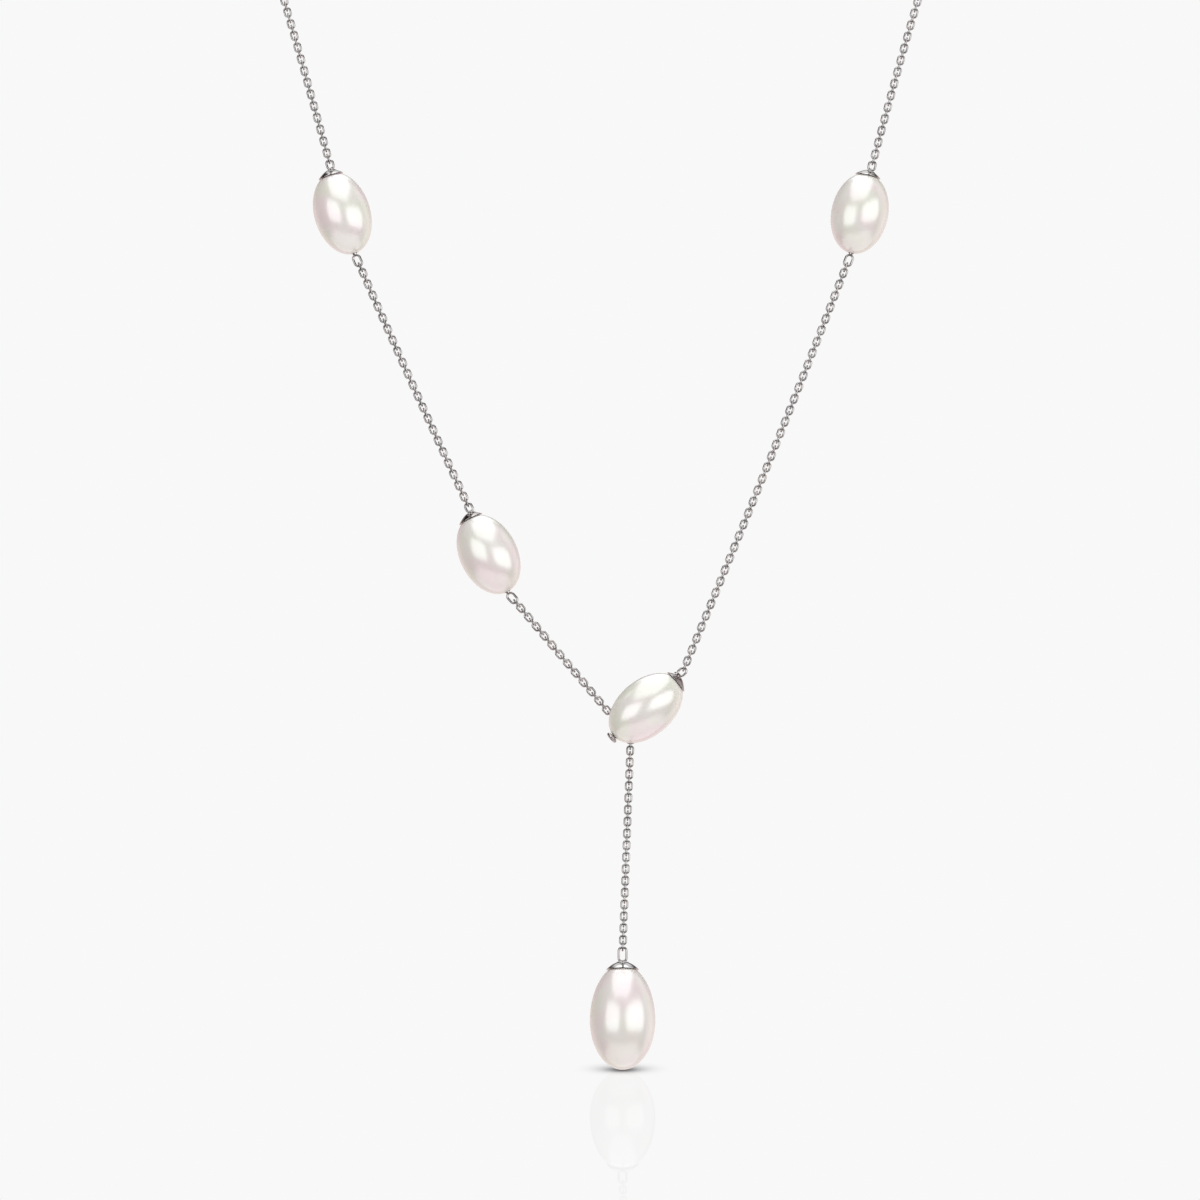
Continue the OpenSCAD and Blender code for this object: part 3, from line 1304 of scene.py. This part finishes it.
@dataclass
class Clasp:
    """The closed spring ring at the nape, with an eye on each side."""

    ring: float = 5.4
    wire: float = 1.0
    turns: int = 56
    sides: int = 20
    eye_width: float = 1.2
    eye_length: float = 1.6
    eye_wire: float = 0.35
    back: float = 0.5
    crease: float = 60.0
    body: str = "necklace"

    def build(self, finishes: Finishes) -> bpy.types.Object:
        """Makes and dresses the clasp.

        Args:
            finishes: The necklace's materials.

        Returns:
            The finished piece.
        """
        lay = Matrix.Rotation(math.pi / 2, 4, "Z") @ Matrix.Rotation(math.pi / 2, 4, "X")
        reach = self.ring / 2 + self.eye_length / 2 - self.eye_wire
        parts = [Wire.ring(self.ring, self.ring, self.wire, self.turns, self.sides)]
        for side in Side:
            eye = Wire.ring(self.eye_width, self.eye_length, self.eye_wire, EYE_TURNS, WIRE_SIDES)
            Bench.settle(eye, Matrix.Translation((side.value * reach, 0, 0)) @ lay)
            parts.append(eye)
        clasp = Bench.join("silver_clasp", parts)
        Bench.smooth(clasp, self.crease)
        Bench.settle(clasp, Matrix.Scale(MM, 4) @ Matrix.Translation((0, self.back, 0)))
        finish_piece(clasp, finishes.cap_silver, "silver", self.body, "clasp")
        return clasp


@dataclass
class Front:
    """The pearls, caps and chains of the front, and how they hang in each other."""

    finishes: Finishes
    joint_across: float = 3.85
    joint_height: float = 43.85
    left_sag: float = -0.1
    right_sag: float = 0.2
    drop_lower_half: float = 6.4

    def __post_init__(self) -> None:
        """Sets out the caps, each with the point that the chain below it leads to."""
        self.joint = Vector((self.joint_across, HANG_DEPTH, self.joint_height))
        self.centre_cap = CentreCap(CENTRE, self.joint)
        self.drop_cap = DropCap(
            DROP, self.joint, rim=4.2, crown=0.3, pearl_room=1.2, fullness=2.1, nub=0.8,
            eye_width=1.3, eye_length=2.2, body="drop")
        self.lower_left_cap = Cap(LOWER_LEFT, self.joint)
        self.right_cap = Cap(RIGHT, self.centre_cap.upper_hook())
        self.upper_left_cap = Cap(UPPER_LEFT, self.lower_left_cap.upper_hook())

    def build(self) -> None:
        """Builds the pearls, the caps and the four chains of the front."""
        for station in (UPPER_LEFT, LOWER_LEFT, RIGHT, CENTRE):
            Pearl(station).build(self.finishes)
        lower_share = 2 * self.drop_lower_half / DROP.length
        Pearl(DROP, through=False, lower_share=lower_share, body="drop").build(self.finishes)
        for cap in (self.upper_left_cap, self.lower_left_cap, self.right_cap, self.centre_cap,
                    self.drop_cap):
            cap.build(self.finishes)
        self._hang(StraightChain("left", sag=self.left_sag), self.upper_left_cap)
        self._hang(StraightChain("right", sag=self.right_sag), self.right_cap)
        self._join()

    def _hang(self, chain: StraightChain, above: Cap) -> None:
        """Hangs a chain from the lower eye of one cap to the upper eye of the next.

        Args:
            chain: The chain.
            above: The cap whose lower eye leans to the next upper eye.
        """
        start = above.station.lower_hook(above.target)
        chain.build(start, Wire.toward(above.target, EYE_WIDTH, start), self.finishes)

    def _join(self) -> None:
        """Hangs the lower left chain and the drop's chain in the joining ring."""
        ring = self.centre_cap.ring
        start = LOWER_LEFT.lower_hook(self.joint)
        level = Vector((start.x, self.joint.y, start.z))
        end = Wire.toward(self.joint, ring, level)
        StraightChain("lower_left").build(start, end, self.finishes)
        hook = self.drop_cap.upper_hook()
        top = Wire.toward(self.joint, ring, hook)
        foot = Wire.toward(hook, self.drop_cap.eye_width, self.joint)
        StraightChain("drop").build(top, foot, self.finishes)


@dataclass
class Neck:
    """The two chains round the neck, which the front's upper eyes hold, and their clasp."""

    finishes: Finishes
    front: Front

    def build(self) -> None:
        """Builds both chains and the clasp."""
        for side, cap in zip(Side, (self.front.upper_left_cap, self.front.right_cap)):
            eye = (front_plane() @ cap.upper_hook()) / MM
            NeckChain("back_" + side.name.lower()).build(NeckRoute(side).line(eye), self.finishes)
        Clasp().build(self.finishes)


@dataclass(frozen=True)
class Softbox:
    """A flat lamp that faces the necklace, seen from there under given angles in degrees.

    Azimuth 0 is the camera's side and grows to the right. The radiance is what a mirror shows.
    The fade is the share of the lamp's half size that its soft edge takes. A squareness of 2 is
    an oval, and more gives squarer corners.
    """

    name: str
    azimuth: float
    elevation: float
    half_width: float
    half_height: float
    radiance: float
    fade: float
    tint: tuple[float, float, float] = DAYLIGHT
    squareness: float = 4.0

    def _soften(self, lamp: bpy.types.Light) -> None:
        """Rounds the lamp's corners and lets it fade towards its edge.

        Args:
            lamp: The lamp's data.
        """
        lamp.use_nodes = True
        shader = Shader(lamp.node_tree)
        place = shader.node("NewGeometry").outputs["Parametric"]
        split = shader.node("SeparateXYZ", {"Vector": place})
        raised = []
        for label in ("X", "Y"):
            centred = shader.maths("ABSOLUTE", shader.maths("SUBTRACT", split.outputs[label], 0.5))
            aside = shader.maths("MULTIPLY", centred, 2.0)
            raised.append(shader.maths("POWER", aside, self.squareness))
        reach = shader.maths("POWER", shader.maths("ADD", *raised), 1 / self.squareness)
        glow = shader.node("Emission", {"Strength": shader.ramp(reach, 1.0, 1.0 - self.fade)})
        shader.node("OutputLight", {"Surface": glow.outputs["Emission"]})

    def build(self, target: Vector, distance: float) -> bpy.types.Object:
        """Sets up the lamp.

        Args:
            target: The point that it faces.
            distance: How far off it stands.

        Returns:
            The lamp, which the camera doesn't see.
        """
        turn = math.radians(self.azimuth)
        lift = math.radians(self.elevation)
        sideways = Vector((math.cos(turn), math.sin(turn), 0))
        level = Vector((math.sin(turn), -math.cos(turn), 0))
        out = level * math.cos(lift) + Vector((0, 0, math.sin(lift)))
        Bench.clear()
        bpy.ops.object.light_add(type="AREA", location=target + out * distance)
        lamp = bpy.context.object
        lamp.name = self.name
        lamp.rotation_euler = Matrix((sideways, out.cross(sideways), out)).transposed().to_euler()
        lamp.data.shape = "RECTANGLE"
        lamp.data.size = 2 * distance * math.tan(math.radians(self.half_width))
        lamp.data.size_y = 2 * distance * math.tan(math.radians(self.half_height))
        lamp.data.energy = self.radiance * math.pi * lamp.data.size * lamp.data.size_y
        lamp.data.color = self.tint
        lamp.visible_camera = False
        self._soften(lamp.data)
        return lamp


@dataclass
class Studio:
    """The pale floor, the soft lamps and the camera of a 1200 by 1200 picture."""

    paper: Colour = colour(248, 248, 248)

    # What polished faces mirror in front and low down behind, and what lights matt faces
    # there. The light behind fades in between two heights of the direction looked in.
    dusk: Colour = (0.02, 0.018, 0.017, 1.0)
    rear: Colour = (0.94, 0.82, 0.8, 1.0)
    rear_heights: tuple[float, float] = (0.6, -0.2)
    haze: Colour = (0.5, 0.425, 0.368, 1.0)
    rear_haze: Colour = (1.2, 1.12, 1.06, 1.0)

    # The floor rises away from the camera, and its mirror and its contact shadow, which is painted
    # shade, end in metres
    floor_slope: float = 8.0
    floor_size: float = 8.0
    mirror: float = 0.11
    mirror_reach: float = 0.22
    mirror_grazing: tuple[float, float] = (0.55, 0.8)
    shade_reach: float = 0.006
    shade_open: float = 0.85
    shade_least: float = 0.05
    shade_samples: int = 16

    # The camera's scale holds at the focus, a little behind the foot of the drop
    picture: float = 1200.0
    pixels_per_mm: float = 7.7
    centre_pixel: tuple[float, float] = (601.0, 1067.0)
    camera_away: float = 4.0
    focus: float = 0.006
    sensor: float = 36.0
    clip: tuple[float, float] = (0.1, 50.0)

    # The lamps face a point behind the foremost one, at a share of the necklace's height
    aim_behind: float = 0.01
    aim_height: float = 1 / 3
    lamp_distance: float = 1.2
    lamps: tuple[Softbox, ...] = (
        Softbox("softbox_top", -8, 80, 38, 45, 1.65, 0.3),
        Softbox("softbox_left", -37, 10, 31, 24, 1.95, 0.4),
        Softbox("softbox_right", 47, 10, 41, 24, 2.05, 0.4),
        Softbox("softbox_rear", 180, 52, 26, 26, 1.3, 0.4),
        Softbox("fill_right", 112, 5, 24, 50, 0.5, 0.5, (1.0, 0.9, 0.93)),
        Softbox("table", 0, -78, 60, 51, 0.85, 0.4, (0.97, 0.96, 1.0)),
    )

    def foot(self) -> Vector:
        """Returns the lowest point of the drop pearl, in metres."""
        low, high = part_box("pearl_drop")
        return Vector(((low.x + high.x) / 2, (low.y + high.y) / 2, low.z))

    def _world(self) -> None:
        """Makes a dim room that is light low down behind, and that the camera sees as paper."""
        world = bpy.data.worlds.new("studio")
        world.use_nodes = True
        bpy.context.scene.world = world
        shader = Shader(world.node_tree)
        path = shader.node("LightPath").outputs
        way = shader.node("SeparateXYZ", {"Vector": shader.node("TexCoord").outputs["Generated"]})
        behind = shader.ramp(way.outputs["Y"], 0.0, 1.0)
        low = shader.ramp(way.outputs["Z"], *self.rear_heights)
        wall = shader.blend(shader.maths("MULTIPLY", behind, low), self.dusk, self.rear)
        air = shader.blend(behind, self.haze, self.rear_haze)
        room = shader.node("Background", {"Color": shader.blend(path["Is Diffuse Ray"], wall, air)})
        paper = shader.node("Background", {"Color": self.paper})
        seen = shader.maths("MAXIMUM", path["Is Camera Ray"], path["Is Singular Ray"])
        shown = shader.either(seen, room.outputs["Background"], paper.outputs["Background"])
        shader.node("OutputWorld", {"Surface": shown})

    def _floor_material(self, foot: Vector) -> bpy.types.Material:
        """Makes the floor's finish: even paper with a painted contact shadow, darkened by ambient
        occlusion, and a faint mirror near it.

        Args:
            foot: The lowest point of the drop.

        Returns:
            The material, which is clear from below.
        """
        made = bpy.data.materials.new("studio_floor")
        made.use_nodes = True
        shader = Shader(made.node_tree)
        # Painted shade: ambient occlusion darkens the floor's glowing colour near the drop, standing in
        # for a contact shadow
        shade = shader.node(
            "AmbientOcclusion", {"Distance": self.shade_reach, "Color": WHITE},
            samples=self.shade_samples)
        depth = shader.ramp(shade.outputs["AO"], 0.0, self.shade_open, self.shade_least)
        paper = shader.node("Emission", {"Color": shader.blend(1.0, self.paper, depth, "MULTIPLY")})
        gloss = shader.node("BsdfGlossy", {"Color": WHITE, "Roughness": 0.0})
        place = shader.node("TexCoord").outputs["Object"]
        apart = shader.node("VectorMath", {0: place, 1: foot}, operation="DISTANCE")
        near = shader.ramp(apart.outputs["Value"], self.mirror_reach, 0.0, 0.0, self.mirror)
        grazing = shader.ramp(shader.node("LayerWeight").outputs["Facing"], *self.mirror_grazing)
        share = shader.maths("MULTIPLY", near, grazing)
        above = shader.either(share, paper.outputs["Emission"], gloss.outputs["BSDF"])
        clear = shader.node("BsdfTransparent").outputs["BSDF"]
        below = shader.node("NewGeometry").outputs["Backfacing"]
        shader.node("OutputMaterial", {"Surface": shader.either(below, above, clear)})
        return made

    def _floor(self) -> None:
        """Lays the floor under the drop, rising gently away from the camera."""
        foot = self.foot()
        floor = Bench.add(bpy.ops.mesh.primitive_plane_add, size=self.floor_size)
        floor.name = "studio_floor"
        slope = Matrix.Rotation(math.radians(self.floor_slope), 4, "X")
        Bench.settle(floor, Matrix.Translation(foot) @ slope)
        floor.data.materials.append(self._floor_material(foot))
        floor.visible_diffuse = False
        floor.visible_glossy = False
        floor.visible_shadow = False
        floor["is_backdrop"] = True

    def _camera(self) -> None:
        """Stands the camera level with the picture's middle, far off with a long lens."""
        metre = MM / self.pixels_per_mm
        middle = self.picture / 2
        x = (middle - self.centre_pixel[0]) * metre
        y = self.foot().y + self.focus - self.camera_away
        z = (self.centre_pixel[1] - middle) * metre - NAPE_UP * MM
        Bench.clear()
        bpy.ops.object.camera_add(location=(x, y, z), rotation=(math.pi / 2, 0, 0))
        camera = bpy.context.object
        camera.name = "camera"
        camera.data.sensor_width = self.sensor
        camera.data.lens = self.sensor * self.camera_away / (self.picture * metre)
        camera.data.clip_start, camera.data.clip_end = self.clip
        bpy.context.scene.camera = camera

    def build(self) -> None:
        """Sets up the world, the floor, the lamps and the camera."""
        bpy.context.scene.view_settings.view_transform = "Standard"
        self._camera()
        self._world()
        self._floor()
        low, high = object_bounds()
        aim = Vector((0, low.y + self.aim_behind, low.z + (high.z - low.z) * self.aim_height))
        for lamp in self.lamps:
            lamp.build(aim, self.lamp_distance)
        log.info("studio: %d lamps, a floor and a camera", len(self.lamps))


def corners(box: tuple[Vector, Vector]) -> list[list[float]]:
    """Turns the two corners of a box into plain lists of numbers."""
    return [list(corner) for corner in box]


def main() -> None:
    """Builds the necklace and its studio."""
    logging.basicConfig(level=logging.INFO, format="%(name)s: %(message)s", stream=sys.stdout)
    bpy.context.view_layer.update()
    studio = Studio()
    studio.build()
    finishes = Finishes()
    front = Front(finishes)
    front.build()
    Neck(finishes, front).build()
    bpy.context.view_layer.update()


if __name__ == "__main__":
    main()
